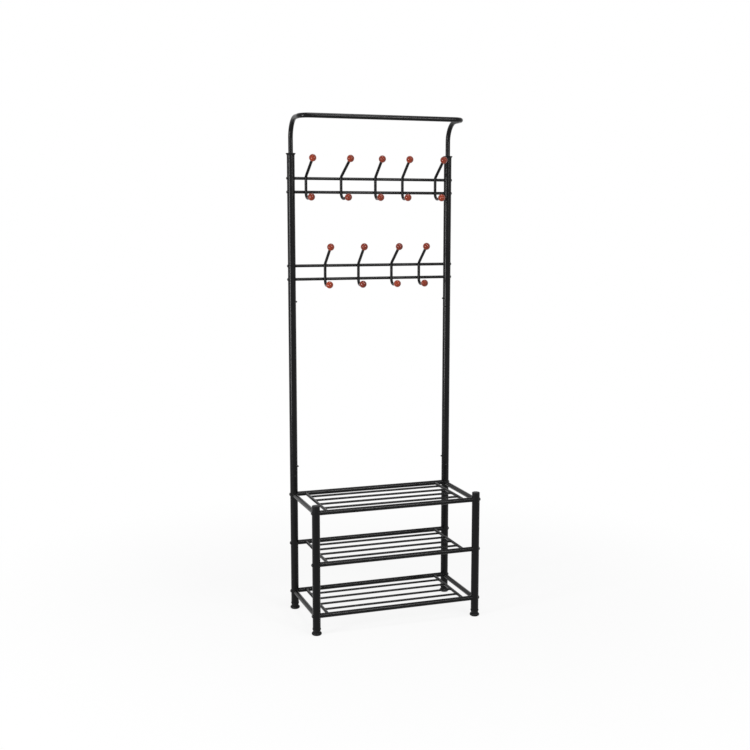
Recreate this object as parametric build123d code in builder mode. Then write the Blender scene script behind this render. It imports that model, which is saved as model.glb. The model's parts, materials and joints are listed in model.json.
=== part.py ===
"""Free-standing hall tree of black steel tube: hanger rail, two rows of double hooks, three shoe shelves."""

import os
from math import sqrt

from build123d import *

os.makedirs("parts", exist_ok=True)

# Posts, in millimetres. X runs across the front, Y from front to back, Z up from the floor.
# The front posts and the lower joint stand above the top shelf; the upper sections follow on from there.
post_spacing_x = 612.0
post_spacing_y = 296.0
post_diameter = 28.6
post_wall = 1.0
front_post_stand = 23.4
lower_joint_rise = 74.6
middle_section_length = 616.0
upper_section_length = 559.2
spigot_length = 62.0
swage_taper = 2.5

# Shelves
bottom_shelf_height = 69.2
shelf_pitch = 187.4
rail_diameter = 17.5
rail_wall = 1.0
side_bar_drop = 2.5
cross_bar_inset = 45.0
cross_bar_diameter = 11.0
cross_bar_wall = 0.8
shelf_rod_count = 4
shelf_rod_diameter = 8.0
shelf_rod_wall = 0.8

# Hanger rail, its height taken from the tops of the rear posts
hanger_rise = 129.9
hanger_reach = 147.0
hanger_diameter = 17.5
hanger_wall = 1.0
hanger_arm_bend = 70.0
hanger_corner_bend = 35.0
hanger_socket_depth = 42.0

# Hook rows: the middle of the upper pair of bars below the post tops, the middle of the lower pair
# above the upper joint, and where each hook stands along them
upper_row_drop = 106.3
lower_row_rise = 137.4
hook_bar_pitch = 49.0
hook_bar_diameter = 11.0
hook_bar_wall = 1.0
upper_hook_places = (-252.8, -119.6, 13.1, 119.6, 251.0)
upper_hook_turns = (3.0, 9.0, 0.0, 0.0, 2.0)
lower_hook_places = (-182.4, -53.5, 76.7, 186.9)
lower_hook_turns = (-1.0, -2.0, 2.0, 0.0)

# One double hook: reach forward from its upright, rise above the top bar and drop below the bottom bar
hook_rod_diameter = 10.5
hook_rod_wall = 1.0
arm_reach = 77.5
arm_rise = 69.5
arm_lead = 6.3
arm_bend = 13.5
crook_reach = 60.0
crook_drop = 25.5
crook_end_rise = 7.0
crook_bend = 21.0
knob_diameter = 26.5
knob_flat = 1.6

# Collars, caps and feet
collar_flare_diameter = 36.0
collar_flare_height = 6.5
collar_lip = 2.0
collar_sleeve_floor = 3.0
cap_height = 4.0
cap_rounding = 2.6
cap_plug_length = 16.0
cap_plug_wall = 2.0
foot_disc_diameter = 36.0
foot_disc_height = 11.0
foot_disc_flat = 27.0
foot_neck_diameter = 27.0
foot_neck_height = 9.0
foot_plug_flange_diameter = 30.6
foot_plug_flange_height = 4.0
foot_plug_length = 24.0
stud_diameter = 8.0
stud_length = 44.0
stud_head_diameter = 15.0
stud_head_height = 4.0
stud_head_seat = 4.0

# Bolts and the threaded inserts that they reach
shelf_bolt_diameter = 6.0
shelf_bolt_head_diameter = 12.5
shelf_bolt_head_height = 4.0
shelf_bolt_key = 4.0
hook_bolt_diameter = 5.0
hook_bolt_head_diameter = 10.5
hook_bolt_head_height = 3.5
hook_bolt_key = 3.0
bolt_socket_depth = 2.0
bolt_grip = 15.0
insert_length = 22.0

# Snap buttons that lock the post sections together, and the leaf springs behind them
button_lift = 31.0
button_diameter = 6.4
button_proud = 5.0
button_dome = 1.8
button_flange_diameter = 9.0
button_flange_thickness = 1.2
spring_width = 7.0
spring_thickness = 0.6
spring_button_leg = 7.0
spring_drop = 38.0
spring_back_rise = 10.0
spring_fold_radius = 2.5

# Clearances
seat_clearance = 0.05
sleeve_clearance = 0.10
running_clearance = 0.06
bolt_clearance = 0.25
moving_clearance = 0.30

# Sizes worked out from the driving dimensions
post_x = post_spacing_x / 2
post_y = post_spacing_y / 2
post_radius = post_diameter / 2
post_bore_radius = post_radius - post_wall
rail_radius = rail_diameter / 2
cross_bar_radius = cross_bar_diameter / 2
hanger_radius = hanger_diameter / 2
hook_bar_radius = hook_bar_diameter / 2
hook_rod_radius = hook_rod_diameter / 2
knob_radius = knob_diameter / 2
stud_radius = stud_diameter / 2
spigot_radius = post_bore_radius - sleeve_clearance
spigot_bore_radius = spigot_radius - post_wall

shelf_heights = {
    "bottom": bottom_shelf_height,
    "middle": bottom_shelf_height + shelf_pitch,
    "top": bottom_shelf_height + 2 * shelf_pitch,
}
cross_bar_x = post_x - cross_bar_inset

foot_top = foot_disc_height + foot_neck_height
post_bottom = foot_top + moving_clearance + foot_plug_flange_height
front_post_top = shelf_heights["top"] + front_post_stand
lower_joint = shelf_heights["top"] + lower_joint_rise
upper_joint = lower_joint + middle_section_length
post_top = upper_joint + upper_section_length

upper_row_height = post_top - upper_row_drop
lower_row_height = upper_joint + lower_row_rise
hook_bar_heights = {
    "upper_row_top": upper_row_height + hook_bar_pitch / 2,
    "upper_row_bottom": upper_row_height - hook_bar_pitch / 2,
    "lower_row_top": lower_row_height + hook_bar_pitch / 2,
    "lower_row_bottom": lower_row_height - hook_bar_pitch / 2,
}
sides = {"left": -1, "right": 1}
rows = {"front": -1, "rear": 1}


def save(piece, name):
    """Label a finished piece and write it under its own name."""
    piece.part.label = name
    export_step(piece.part, f"parts/{name}.step")


def ring(outer_radius, wall):
    """Draw the section of a round tube in the current sketch."""
    Circle(outer_radius)
    Circle(outer_radius - wall, mode=Mode.SUBTRACT)


def upright(x, y):
    """The upright plane through a post's axis: first axis across, second axis up."""
    return Plane(origin=(x, y, 0), x_dir=(1, 0, 0), z_dir=(0, -1, 0))


def post_axis(x, y):
    """The upright axis that a post and everything in it is turned about."""
    return Axis((x, y, 0), (0, 0, 1))


def bolt_holes(x, y, heights, bolt_diameter):
    """Drill the current post from side to side at each height."""
    with BuildSketch(Plane.YZ.offset(x)) as holes:
        with Locations(*[(y, height) for height in heights]):
            Circle(bolt_diameter / 2 + bolt_clearance)
    extrude(holes.sketch, amount=post_radius, both=True, mode=Mode.SUBTRACT)


def button_hole(x, y, height):
    """Drill the inward side of the current post for a snap button."""
    inward = -1 if x > 0 else 1
    with BuildSketch(Plane.YZ.offset(x)) as hole:
        with Locations((y, height)):
            Circle(button_diameter / 2 + running_clearance)
    extrude(hole.sketch, amount=inward * post_radius, mode=Mode.SUBTRACT)


def spigot_profile(bottom, joint):
    """Draw half the section of a tube whose top is drawn in to enter the next section."""
    with BuildLine() as outline:
        Polyline(
            (post_bore_radius, bottom),
            (post_radius, bottom),
            (post_radius, joint - swage_taper),
            (spigot_radius, joint),
            (spigot_radius, joint + spigot_length),
            (spigot_bore_radius, joint + spigot_length),
            (spigot_bore_radius, joint),
            (post_bore_radius, joint - swage_taper),
            close=True,
        )
    make_face(outline.edges())


# Rear posts, each of three sections that slide together
for side, sign in sides.items():
    x = sign * post_x

    with BuildPart() as lower_post:
        with BuildSketch(upright(x, post_y)):
            spigot_profile(post_bottom, lower_joint)
        revolve(axis=post_axis(x, post_y))
        bolt_holes(x, post_y, shelf_heights.values(), shelf_bolt_diameter)
        button_hole(x, post_y, lower_joint + button_lift)
    save(lower_post, f"{side}_lower_post")

    with BuildPart() as middle_post:
        with BuildSketch(upright(x, post_y)):
            spigot_profile(lower_joint, upper_joint)
        revolve(axis=post_axis(x, post_y))
        button_hole(x, post_y, lower_joint + button_lift)
        button_hole(x, post_y, upper_joint + button_lift)
    save(middle_post, f"{side}_middle_post")

    with BuildPart() as upper_post:
        with BuildSketch(Plane.XY.offset(upper_joint)):
            with Locations((x, post_y)):
                ring(post_radius, post_wall)
        extrude(amount=upper_section_length)
        bolt_holes(x, post_y, hook_bar_heights.values(), hook_bolt_diameter)
        button_hole(x, post_y, upper_joint + button_lift)
    save(upper_post, f"{side}_upper_post")

# Front posts
for side, sign in sides.items():
    x = sign * post_x
    with BuildPart() as front_post:
        with BuildSketch(Plane.XY.offset(post_bottom)):
            with Locations((x, -post_y)):
                ring(post_radius, post_wall)
        extrude(amount=front_post_top - post_bottom)
        bolt_holes(x, -post_y, shelf_heights.values(), shelf_bolt_diameter)
    save(front_post, f"front_{side}_post")

# Caps that close the tops of the front posts
with BuildPart() as post_caps:
    for sign in sides.values():
        with BuildSketch(upright(sign * post_x, -post_y)):
            with BuildLine():
                plug_radius = post_bore_radius - sleeve_clearance
                plug_bottom = front_post_top - cap_plug_length
                Polyline(
                    (0, front_post_top + cap_height),
                    (0, front_post_top),
                    (plug_radius - cap_plug_wall, front_post_top),
                    (plug_radius - cap_plug_wall, plug_bottom),
                    (plug_radius, plug_bottom),
                    (plug_radius, front_post_top),
                    (post_radius, front_post_top),
                    (post_radius, front_post_top + cap_height),
                    close=True,
                )
            make_face()
        revolve(axis=post_axis(sign * post_x, -post_y))
    rims = post_caps.edges().filter_by(GeomType.CIRCLE).group_by(Axis.Z)[-1]
    fillet(rims, radius=cap_rounding)
save(post_caps, "post_caps")

# Flared collars that carry the hanger rail in the tops of the rear posts
collar_top = post_top + collar_flare_height + collar_lip
hanger_end = post_top - hanger_socket_depth
hanger_height = post_top + hanger_rise
with BuildPart() as rail_collars:
    for sign in sides.values():
        with BuildSketch(upright(sign * post_x, post_y)):
            with BuildLine():
                sleeve_radius = post_bore_radius - sleeve_clearance
                socket_radius = hanger_radius + sleeve_clearance
                floor_bore_radius = hanger_radius - 2 * hanger_wall
                socket_floor = hanger_end - seat_clearance
                Polyline(
                    (floor_bore_radius, socket_floor - collar_sleeve_floor),
                    (sleeve_radius, socket_floor - collar_sleeve_floor),
                    (sleeve_radius, post_top + seat_clearance),
                    (post_radius, post_top + seat_clearance),
                    (collar_flare_diameter / 2, post_top + collar_flare_height),
                    (collar_flare_diameter / 2, collar_top - collar_lip / 2),
                    (socket_radius, collar_top),
                    (socket_radius, socket_floor),
                    (floor_bore_radius, socket_floor),
                    close=True,
                )
            make_face()
        revolve(axis=post_axis(sign * post_x, post_y))
save(rail_collars, "rail_collars")

# Hanger rail, one bent tube from collar to collar
with BuildPart() as hanger_rail:
    with BuildLine() as hanger_path:
        bar_y = post_y - hanger_reach
        FilletPolyline(
            (-post_x, post_y, hanger_end),
            (-post_x, post_y, hanger_height),
            (-post_x, bar_y, hanger_height),
            (post_x, bar_y, hanger_height),
            (post_x, post_y, hanger_height),
            (post_x, post_y, hanger_end),
            radius=(hanger_arm_bend, hanger_corner_bend, hanger_corner_bend, hanger_arm_bend),
        )
    with BuildSketch(Plane.XY.offset(hanger_end)):
        with Locations((-post_x, post_y)):
            ring(hanger_radius, hanger_wall)
    sweep(path=hanger_path.wires()[0])
save(hanger_rail, "hanger_rail")


def build_cross_tube(y, height, radius, wall):
    """A tube from post to post, its ends hollowed to seat on the posts."""
    with BuildPart() as tube:
        with BuildSketch(Plane.YZ):
            with Locations((y, height)):
                ring(radius, wall)
        extrude(amount=post_x, both=True)
        with Locations((-post_x, y, height), (post_x, y, height)):
            Cylinder(post_radius + seat_clearance, 3 * radius, mode=Mode.SUBTRACT)
    return tube


# Shelf rails
for level, height in shelf_heights.items():
    for row, sign in rows.items():
        shelf_rail = build_cross_tube(sign * post_y, height, rail_radius, rail_wall)
        save(shelf_rail, f"{level}_{row}_rail")

# Cross bars, welded between the front and rear rail of each shelf
for level, height in shelf_heights.items():
    with BuildPart() as cross_bars:
        with BuildSketch(Plane.XZ):
            with Locations((-cross_bar_x, height), (cross_bar_x, height)):
                ring(cross_bar_radius, cross_bar_wall)
        extrude(amount=post_y, both=True)
        with BuildSketch(Plane.YZ):
            with Locations((-post_y, height), (post_y, height)):
                Circle(rail_radius + seat_clearance)
        extrude(amount=post_x, both=True, mode=Mode.SUBTRACT)
    save(cross_bars, f"{level}_cross_bars")

# Shelf rods, welded between the cross bars of each shelf at even gaps
rod_pitch = post_spacing_y / (shelf_rod_count + 1)
for level, height in shelf_heights.items():
    with BuildPart() as shelf_rods:
        with BuildSketch(Plane.YZ):
            for rod in range(shelf_rod_count):
                with Locations((-post_y + (rod + 1) * rod_pitch, height)):
                    ring(shelf_rod_diameter / 2, shelf_rod_wall)
        extrude(amount=cross_bar_x, both=True)
        with BuildSketch(Plane.XZ):
            with Locations((-cross_bar_x, height), (cross_bar_x, height)):
                Circle(cross_bar_radius + seat_clearance)
        extrude(amount=post_y, both=True, mode=Mode.SUBTRACT)
    save(shelf_rods, f"{level}_shelf_rods")

# Side bars, welded between front and rear posts at the top and bottom shelves
for level in ("bottom", "top"):
    height = shelf_heights[level] - side_bar_drop
    for side, sign in sides.items():
        x = sign * post_x
        with BuildPart() as side_bar:
            with BuildSketch(Plane.XZ):
                with Locations((x, height)):
                    ring(rail_radius, rail_wall)
            extrude(amount=post_y, both=True)
            with Locations((x, -post_y, height), (x, post_y, height)):
                Cylinder(post_radius + seat_clearance, 3 * rail_radius, mode=Mode.SUBTRACT)
        save(side_bar, f"{level}_{side}_side_bar")

# Hook bars
for place, height in hook_bar_heights.items():
    hook_bar = build_cross_tube(post_y, height, hook_bar_radius, hook_bar_wall)
    save(hook_bar, f"{place}_hook_bar")

# One double hook, standing on the origin: its upright along Z and its reach along -Y
half_pitch = hook_bar_pitch / 2
crook_bottom = -half_pitch - crook_drop
with BuildPart() as hook_form:
    with BuildLine(Plane.YZ) as hook_path:
        FilletPolyline(
            (-arm_reach, half_pitch + arm_rise),
            (0, half_pitch + arm_lead),
            (0, crook_bottom),
            (-crook_reach, crook_bottom + crook_end_rise),
            radius=(arm_bend, crook_bend),
        )
    hook_wire = hook_path.wires()[0]
    with BuildSketch(Plane(origin=hook_wire @ 0, z_dir=hook_wire % 0)):
        ring(hook_rod_radius, hook_rod_wall)
    sweep(path=hook_wire)


def build_knob_form(centre, outward):
    """A wooden ball with a blind hole for the end of a hook, and a flat where the hook enters."""
    mouth = Plane(origin=centre - outward * (knob_radius - knob_flat), z_dir=-outward)
    hole_floor = Plane(origin=centre + outward * seat_clearance, z_dir=-outward)
    with BuildPart() as knob:
        with Locations(Location(centre)):
            Sphere(knob_radius)
        split(bisect_by=mouth, keep=Keep.BOTTOM)
        with BuildSketch(hole_floor):
            Circle(hook_rod_radius + seat_clearance)
        extrude(amount=knob_radius, mode=Mode.SUBTRACT)
    return knob


arm_knob_form = build_knob_form(hook_wire @ 0, -(hook_wire % 0))
crook_knob_form = build_knob_form(hook_wire @ 1, hook_wire % 1)

# Hooks, welded to the front of the bars, each where it stands and turned as it was welded
hook_y = post_y - hook_bar_radius - seat_clearance - hook_rod_radius
hook_rows = {
    "upper": (upper_row_height, upper_hook_places, upper_hook_turns),
    "lower": (lower_row_height, lower_hook_places, lower_hook_turns),
}
for row, (height, places, turns) in hook_rows.items():
    stations = [Location((x, hook_y, height), (0, 0, turn)) for x, turn in zip(places, turns)]
    for number, station in enumerate(stations, start=1):
        with BuildPart() as hook:
            with Locations(station):
                add(hook_form.part)
        save(hook, f"{row}_hook_{number}")

    with BuildPart() as knobs:
        with Locations(*stations):
            add(arm_knob_form.part)
            add(crook_knob_form.part)
    save(knobs, f"{row}_knobs")


def build_bolt_form(diameter, head_diameter, head_height, key, length):
    """A domed bolt along +X, the underside of its head on the origin, with a six-sided socket."""
    dome_rim = head_height / 3
    with BuildPart() as bolt:
        with BuildSketch(Plane.XY):
            with BuildLine():
                Polyline(
                    (-head_height, 0),
                    (length, 0),
                    (length, diameter / 2),
                    (0, diameter / 2),
                    (0, head_diameter / 2),
                    (-dome_rim, head_diameter / 2),
                )
                TangentArc((-head_height, 0), (-dome_rim, head_diameter / 2), tangent=(0, 1))
            make_face()
        revolve(axis=Axis.X)
        with BuildSketch(Plane.YZ.offset(-head_height)):
            RegularPolygon(radius=key / 2, side_count=6, major_radius=False)
        extrude(amount=bolt_socket_depth, mode=Mode.SUBTRACT)
    return bolt


def build_insert_form(bar_radius, bar_wall, bolt_diameter):
    """A threaded plug along +X for the end of a bar, hollowed to seat on the post at the origin."""
    with BuildPart() as insert:
        with BuildSketch(Plane.YZ):
            Circle(bar_radius - bar_wall - seat_clearance)
            Circle(bolt_diameter / 2 + seat_clearance, mode=Mode.SUBTRACT)
        extrude(amount=post_radius + insert_length)
        Cylinder(post_radius + seat_clearance, 3 * bar_radius, mode=Mode.SUBTRACT)
    return insert


def facing_stations(distance, seats):
    """Places at a distance outside the post's axis, at both ends of each bar, facing inwards."""
    left = [Location((-post_x - distance, y, height)) for y, height in seats]
    right = [Location((post_x + distance, y, height), (0, 0, 180)) for y, height in seats]
    return left + right


shelf_seats = [(sign * post_y, height) for sign in rows.values() for height in shelf_heights.values()]
hook_seats = [(post_y, height) for height in hook_bar_heights.values()]
bolt_length = 2 * post_radius + bolt_grip

# Bolts, through the posts from outside
shelf_bolt_form = build_bolt_form(
    shelf_bolt_diameter, shelf_bolt_head_diameter, shelf_bolt_head_height, shelf_bolt_key, bolt_length
)
with BuildPart() as shelf_bolts:
    with Locations(*facing_stations(post_radius + seat_clearance, shelf_seats)):
        add(shelf_bolt_form.part)
save(shelf_bolts, "shelf_bolts")

hook_bolt_form = build_bolt_form(
    hook_bolt_diameter, hook_bolt_head_diameter, hook_bolt_head_height, hook_bolt_key, bolt_length
)
with BuildPart() as hook_bar_bolts:
    with Locations(*facing_stations(post_radius + seat_clearance, hook_seats)):
        add(hook_bolt_form.part)
save(hook_bar_bolts, "hook_bar_bolts")

# Threaded inserts in the ends of the rails and hook bars
shelf_insert_form = build_insert_form(rail_radius, rail_wall, shelf_bolt_diameter)
hook_insert_form = build_insert_form(hook_bar_radius, hook_bar_wall, hook_bolt_diameter)
with BuildPart() as threaded_inserts:
    with Locations(*facing_stations(0, shelf_seats)):
        add(shelf_insert_form.part)
    with Locations(*facing_stations(0, hook_seats)):
        add(hook_insert_form.part)
save(threaded_inserts, "threaded_inserts")

# Feet: a plug in each post, a stud that screws through it and a pad that swivels on the stud's head
stud_bottom = stud_head_seat
stud_shoulder = stud_bottom + stud_head_height
with BuildPart() as foot_plug_form:
    with BuildSketch(Plane.XZ):
        with BuildLine():
            plug_bore = stud_radius + running_clearance
            flange_bottom = post_bottom - foot_plug_flange_height
            plug_radius = post_bore_radius - sleeve_clearance
            Polyline(
                (plug_bore, flange_bottom),
                (foot_plug_flange_diameter / 2, flange_bottom),
                (foot_plug_flange_diameter / 2, post_bottom - seat_clearance),
                (plug_radius, post_bottom - seat_clearance),
                (plug_radius, post_bottom + foot_plug_length),
                (plug_bore, post_bottom + foot_plug_length),
                close=True,
            )
        make_face()
    revolve(axis=Axis.Z)

with BuildPart() as foot_stud_form:
    with BuildSketch(Plane.XY.offset(stud_bottom)):
        Circle(stud_head_diameter / 2)
    extrude(amount=stud_head_height)
    with BuildSketch(Plane.XY.offset(stud_shoulder)):
        Circle(stud_radius)
    extrude(amount=stud_length)

with BuildPart() as foot_pad_form:
    with BuildSketch(Plane.XZ):
        with BuildLine():
            Polyline(
                (foot_neck_diameter / 2, foot_disc_height),
                (foot_neck_diameter / 2, foot_top),
                (0, foot_top),
                (0, 0),
                (foot_disc_flat / 2, 0),
            )
            ThreePointArc(
                (foot_disc_flat / 2, 0),
                (foot_disc_diameter / 2, foot_disc_height / 2),
                (foot_neck_diameter / 2, foot_disc_height),
            )
        make_face()
    revolve(axis=Axis.Z)
    with BuildSketch(Plane.XY.offset(stud_bottom - running_clearance)):
        Circle(stud_head_diameter / 2 + running_clearance)
    extrude(amount=stud_head_height + 2 * running_clearance, mode=Mode.SUBTRACT)
    with BuildSketch(Plane.XY.offset(stud_shoulder)):
        Circle(stud_radius + running_clearance)
    extrude(amount=foot_top, mode=Mode.SUBTRACT)

foot_places = {
    f"{row}_{side}": Location((side_sign * post_x, row_sign * post_y, 0))
    for row, row_sign in rows.items()
    for side, side_sign in sides.items()
}
with BuildPart() as foot_plugs:
    with Locations(*foot_places.values()):
        add(foot_plug_form.part)
save(foot_plugs, "foot_plugs")

for place, station in foot_places.items():
    with BuildPart() as foot_stud:
        with Locations(station):
            add(foot_stud_form.part)
    save(foot_stud, f"{place}_foot_stud")

    with BuildPart() as foot_pad:
        with Locations(station):
            add(foot_pad_form.part)
    save(foot_pad, f"{place}_foot_pad")

# One snap button along +X from the axis of its post
button_flange_face = sqrt(spigot_bore_radius**2 - (button_flange_diameter / 2) ** 2) - moving_clearance
button_back = button_flange_face - button_flange_thickness
button_tip = post_radius + button_proud
with BuildPart() as button_form:
    with BuildSketch(Plane.XY):
        with BuildLine():
            Polyline(
                (button_tip, 0),
                (button_back, 0),
                (button_back, button_flange_diameter / 2),
                (button_flange_face, button_flange_diameter / 2),
                (button_flange_face, button_diameter / 2),
                (button_tip - button_dome, button_diameter / 2),
            )
            TangentArc((button_tip, 0), (button_tip - button_dome, button_diameter / 2), tangent=(0, 1))
        make_face()
    revolve(axis=Axis.X)

# One leaf spring: a folded strip between the back of the button and the far wall of the spigot
spring_face = button_back - seat_clearance - spring_thickness / 2
spring_back = seat_clearance + spring_thickness / 2 - sqrt(spigot_bore_radius**2 - (spring_width / 2) ** 2)
spring_fold = (spring_face + spring_back) / 2
with BuildPart() as spring_form:
    with BuildLine(Plane.XZ) as spring_path:
        FilletPolyline(
            (spring_face, spring_button_leg),
            (spring_face, -spring_button_leg),
            (spring_fold, -spring_drop),
            (spring_back, spring_back_rise - spring_button_leg),
            (spring_back, spring_back_rise),
            radius=(spring_fold_radius, spring_fold_radius, spring_fold_radius),
        )
    spring_wire = spring_path.wires()[0]
    with BuildSketch(Plane(origin=spring_wire @ 0, x_dir=(0, 1, 0), z_dir=spring_wire % 0)):
        Rectangle(spring_width, spring_thickness)
    sweep(path=spring_wire)

joint_heights = {"lower": lower_joint + button_lift, "upper": upper_joint + button_lift}
button_places = {
    f"{side}_{joint}": Location((sign * post_x, post_y, height), (0, 0, 180 if sign > 0 else 0))
    for side, sign in sides.items()
    for joint, height in joint_heights.items()
}
for place, station in button_places.items():
    with BuildPart() as snap_button:
        with Locations(station):
            add(button_form.part)
    save(snap_button, f"{place}_snap_button")

with BuildPart() as button_springs:
    with Locations(*button_places.values()):
        add(spring_form.part)
save(button_springs, "button_springs")
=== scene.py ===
"""Looks of a free-standing hall tree, in metres.

Black coated tube, varnished ball knobs, weld beads, threaded foot studs and leaf springs, on a
plain pale stage.
"""

import json
import math

import bmesh
import bpy
from bpy.props import FloatProperty, FloatVectorProperty, IntProperty, PointerProperty
from mathutils import Matrix, Vector


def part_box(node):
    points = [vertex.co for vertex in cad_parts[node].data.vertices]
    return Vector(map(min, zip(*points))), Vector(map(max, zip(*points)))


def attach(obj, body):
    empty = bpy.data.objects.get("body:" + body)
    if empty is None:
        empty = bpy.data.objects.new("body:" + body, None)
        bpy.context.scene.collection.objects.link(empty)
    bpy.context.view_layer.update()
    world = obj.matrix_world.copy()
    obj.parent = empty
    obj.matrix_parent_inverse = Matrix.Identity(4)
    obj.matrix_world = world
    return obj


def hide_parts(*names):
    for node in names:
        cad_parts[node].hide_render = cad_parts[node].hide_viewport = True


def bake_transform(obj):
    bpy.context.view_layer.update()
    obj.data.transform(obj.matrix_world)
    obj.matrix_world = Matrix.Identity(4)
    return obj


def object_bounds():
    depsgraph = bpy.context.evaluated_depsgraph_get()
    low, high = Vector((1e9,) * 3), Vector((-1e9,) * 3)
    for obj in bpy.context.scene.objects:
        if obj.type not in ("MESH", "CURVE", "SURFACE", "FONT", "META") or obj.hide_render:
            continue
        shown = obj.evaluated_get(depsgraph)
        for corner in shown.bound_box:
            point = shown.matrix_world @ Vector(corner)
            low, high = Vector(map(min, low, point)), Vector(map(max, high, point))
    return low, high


bl_info = {
    "name": "Hall Tree Looks",
    "version": (1, 0, 0),
    "blender": (4, 5, 0),
    "location": "View3D > Sidebar > Hall Tree",
    "description": "Finishes, weld beads, foot threads, leaf springs and a stage for a hall tree",
    "category": "Object",
}

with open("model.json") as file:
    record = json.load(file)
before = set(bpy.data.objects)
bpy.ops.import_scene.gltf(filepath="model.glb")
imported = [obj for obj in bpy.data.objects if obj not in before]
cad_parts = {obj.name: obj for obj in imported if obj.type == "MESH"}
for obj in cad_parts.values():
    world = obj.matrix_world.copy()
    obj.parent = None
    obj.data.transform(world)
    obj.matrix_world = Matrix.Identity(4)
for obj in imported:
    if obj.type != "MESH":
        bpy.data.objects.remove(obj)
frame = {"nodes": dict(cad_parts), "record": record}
cad_low, cad_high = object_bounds()

LEVELS = ("bottom", "middle", "top")
ROWS = ("front", "rear")
SIDES = ("left", "right")

ORIGIN = (0.0, 0.0, 0.0)
RIGHT = (1.0, 0.0, 0.0)
REAR = (0.0, 1.0, 0.0)
FRONT = (0.0, -1.0, 0.0)
UP = (0.0, 0.0, 1.0)
WHITE = (1.0, 1.0, 1.0, 1.0)
QUARTER_TURN = math.radians(90.0)
FULL_TURN = math.radians(360.0)

# Points nearer than this are one point, in a finished piece and where a seam is closed.
SAME_POINT = 1e-7
SEAM_GAP = 1e-6

# A weld bead: the corners of its section, the steps in one ripple and how much that swells it.
BEAD_CORNERS = 10
RIPPLE_STEPS = 4
RIPPLE_SWELL = 0.10

# Where a hook is measured: how deep its back is, and its upright, and how far up and down.
HOOK_BACK = 0.0003
UPRIGHT_DEPTH = 0.0110
UPRIGHT_REACH = 0.06

# A foot stud: how deep its tip is measured, the steps in one turn of its thread, where in the
# pitch the crest starts and ends and the root starts, and the corners of its head.
STUD_TIP = 0.0005
TURN_STEPS = 24
CREST_START = 0.40
CREST_END = 0.52
ROOT_START = 0.92
HEAD_CORNERS = 48

# Edges of a leaf spring that bend more than this stay sharp.
SPRING_CREASE = math.radians(40.0)

# The band texture has this many radians in one unit of length.
BAND_RATE = 10.0

# The width of the camera's sensor, in millimetres.
SENSOR_WIDTH = 36.0


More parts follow.
